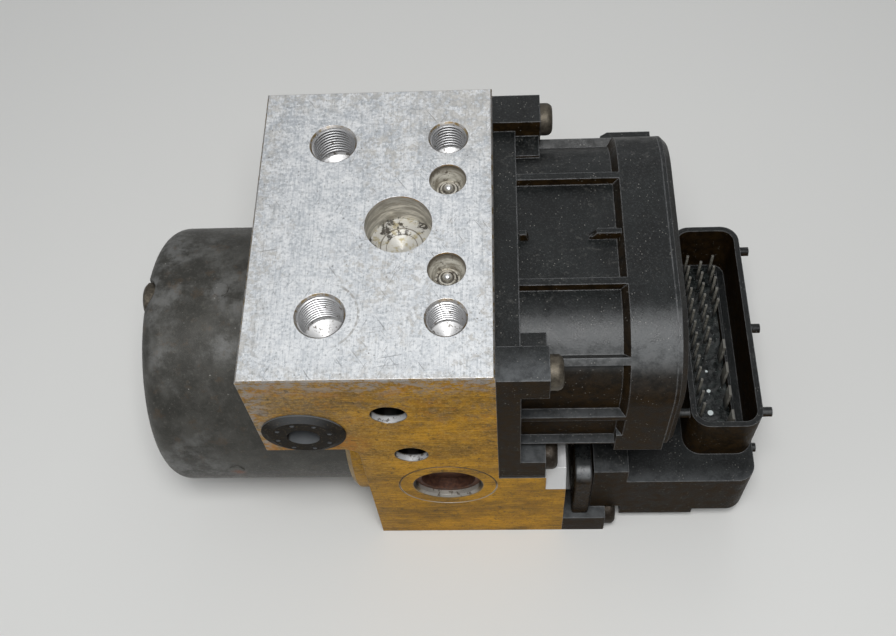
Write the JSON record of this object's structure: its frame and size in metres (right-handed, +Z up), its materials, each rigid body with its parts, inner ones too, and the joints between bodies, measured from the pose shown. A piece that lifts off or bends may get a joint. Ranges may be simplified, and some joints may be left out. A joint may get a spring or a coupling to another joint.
{
  "type": "abs brake module",
  "caption": "Hydraulic brake modulator: a drilled aluminium valve block with a round pump motor on one side and a black coil housing and control unit with an upright connector on the other.",
  "frame": {"origin": "on the base face of the valve block, below the point where the pump axis crosses the motor shaft", "axes": "+X from the motor to the electronics along the motor shaft, +Y towards the rear along the pump axis, +Z up out of the port face"},
  "size_m": [0.167, 0.0864, 0.1],
  "materials": {
    "cast_aluminium": "drawn and milled, worn",
    "rubber": "dull",
    "seal_rubber": "dull",
    "steel": "ground",
    "spring_steel": "drawn wire",
    "rusty_steel": "rusty",
    "bronze": "sintered",
    "laminations": "stamped",
    "copper": "enamelled",
    "pot_steel": "dark oxide, matte",
    "ferrite": "sintered",
    "carbon": "pressed carbon",
    "screw_zinc": "dull zinc",
    "inner_plastic": "moulded",
    "accumulator_metal": "turned",
    "valve_steel": "turned",
    "coil_winding": "potted winding",
    "housing_plastic": "satin moulded",
    "board_green": "coated",
    "tin": "tinned"
  },
  "bodies": {
    "module": {"accumulator_cap_front": "accumulator_metal", "accumulator_cap_rear": "accumulator_metal", "accumulator_spring_front": "spring_steel", "accumulator_spring_rear": "spring_steel", "brush_plate": "inner_plastic", "brush_spring_front": "spring_steel", "brush_spring_rear": "spring_steel", "circuit_board": "board_green", "coil_housing": "housing_plastic", "coil_housing_lid": "housing_plastic", "coil_housing_screws": "screw_zinc", "coil_housing_seal": "seal_rubber", "connector_pins": "tin", "contact_strip": "inner_plastic", "control_unit_cover": "housing_plastic", "control_unit_housing": "housing_plastic", "control_unit_screws": "screw_zinc", "front_bearing": "steel", "magnet_front": "ferrite", "magnet_rear": "ferrite", "motor_bolts": "screw_zinc", "motor_lead": "inner_plastic", "motor_pot": "pot_steel", "motor_seal": "seal_rubber", "plug_cap": "housing_plastic", "pump_plug_front": "rusty_steel", "pump_plug_rear": "rusty_steel", "pump_sleeve_front": "steel", "pump_sleeve_rear": "steel", "pump_spring_front": "spring_steel", "pump_spring_rear": "spring_steel", "rear_bush": "bronze", "rubber_mount_front": "rubber", "rubber_mount_rear": "rubber", "stub_plug_front": "steel", "stub_plug_rear": "steel", "valve_block": "cast_aluminium", "valve_bodies": "valve_steel", "valve_coils": "coil_winding", "valve_springs": "spring_steel"},
    "armature": {"armature_shaft": "steel", "armature_core": "laminations", "armature_winding": "copper", "commutator": "copper"},
    "needle_ring": {"eccentric_ring": "steel"},
    "pump_piston_front_body": {"pump_piston_front": "steel"},
    "pump_piston_rear_body": {"pump_piston_rear": "steel"},
    "brush_front_body": {"brush_front": "carbon"},
    "brush_rear_body": {"brush_rear": "carbon"},
    "accumulator_front_body": {"accumulator_piston_front": "accumulator_metal"},
    "accumulator_rear_body": {"accumulator_piston_rear": "accumulator_metal"},
    "inlet_plunger_1_body": {"inlet_plunger_1": "valve_steel"},
    "inlet_plunger_2_body": {"inlet_plunger_2": "valve_steel"},
    "inlet_plunger_3_body": {"inlet_plunger_3": "valve_steel"},
    "inlet_plunger_4_body": {"inlet_plunger_4": "valve_steel"},
    "outlet_plunger_1_body": {"outlet_plunger_1": "valve_steel"},
    "outlet_plunger_2_body": {"outlet_plunger_2": "valve_steel"},
    "outlet_plunger_3_body": {"outlet_plunger_3": "valve_steel"},
    "outlet_plunger_4_body": {"outlet_plunger_4": "valve_steel"}
  },
  "joints": [
    {"name": "armature_spin", "type": "hinge", "parent": "module", "child": "armature", "pos_m": [0, 0, 0.0365], "axis": [1, 0, 0], "continuous": true},
    {"name": "needle_ring_spin", "type": "hinge", "parent": "armature", "child": "needle_ring", "pos_m": [0, 0, 0.0375], "axis": [1, 0, 0], "continuous": true},
    {"name": "pump_piston_front_slide", "type": "slide", "parent": "module", "child": "pump_piston_front_body", "axis": [0, -1, 0], "range_m": [0, 0.002], "stiffness_N_per_m": 1500, "springref_m": -0.004, "deforming": ["pump_spring_front"]},
    {"name": "pump_piston_rear_slide", "type": "slide", "parent": "module", "child": "pump_piston_rear_body", "axis": [0, 1, 0], "range_m": [0, 0.002], "stiffness_N_per_m": 1500, "springref_m": -0.004, "deforming": ["pump_spring_rear"]},
    {"name": "brush_front_slide", "type": "slide", "parent": "module", "child": "brush_front_body", "axis": [0, -1, 0], "range_m": [0, 0.002], "stiffness_N_per_m": 200, "springref_m": -0.005, "deforming": ["brush_spring_front"]},
    {"name": "brush_rear_slide", "type": "slide", "parent": "module", "child": "brush_rear_body", "axis": [0, 1, 0], "range_m": [0, 0.002], "stiffness_N_per_m": 200, "springref_m": -0.005, "deforming": ["brush_spring_rear"]},
    {"name": "accumulator_front_slide", "type": "slide", "parent": "module", "child": "accumulator_front_body", "axis": [0, 0, -1], "range_m": [0, 0.008], "stiffness_N_per_m": 4000, "springref_m": -0.006, "deforming": ["accumulator_spring_front"]},
    {"name": "accumulator_rear_slide", "type": "slide", "parent": "module", "child": "accumulator_rear_body", "axis": [0, 0, -1], "range_m": [0, 0.008], "stiffness_N_per_m": 4000, "springref_m": -0.006, "deforming": ["accumulator_spring_rear"]},
    {"name": "inlet_valve_1_close", "type": "slide", "parent": "module", "child": "inlet_plunger_1_body", "axis": [-1, 0, 0], "range_m": [0, 0.00035], "stiffness_N_per_m": 1000, "springref_m": -0.002},
    {"name": "inlet_valve_2_close", "type": "slide", "parent": "module", "child": "inlet_plunger_2_body", "axis": [-1, 0, 0], "range_m": [0, 0.00035], "stiffness_N_per_m": 1000, "springref_m": -0.002},
    {"name": "inlet_valve_3_close", "type": "slide", "parent": "module", "child": "inlet_plunger_3_body", "axis": [-1, 0, 0], "range_m": [0, 0.00035], "stiffness_N_per_m": 1000, "springref_m": -0.002},
    {"name": "inlet_valve_4_close", "type": "slide", "parent": "module", "child": "inlet_plunger_4_body", "axis": [-1, 0, 0], "range_m": [0, 0.00035], "stiffness_N_per_m": 1000, "springref_m": -0.002},
    {"name": "outlet_valve_1_open", "type": "slide", "parent": "module", "child": "outlet_plunger_1_body", "axis": [1, 0, 0], "range_m": [0, 0.00035], "stiffness_N_per_m": 1000, "springref_m": -0.002},
    {"name": "outlet_valve_2_open", "type": "slide", "parent": "module", "child": "outlet_plunger_2_body", "axis": [1, 0, 0], "range_m": [0, 0.00035], "stiffness_N_per_m": 1000, "springref_m": -0.002},
    {"name": "outlet_valve_3_open", "type": "slide", "parent": "module", "child": "outlet_plunger_3_body", "axis": [1, 0, 0], "range_m": [0, 0.00035], "stiffness_N_per_m": 1000, "springref_m": -0.002},
    {"name": "outlet_valve_4_open", "type": "slide", "parent": "module", "child": "outlet_plunger_4_body", "axis": [1, 0, 0], "range_m": [0, 0.00035], "stiffness_N_per_m": 1000, "springref_m": -0.002}
  ]
}
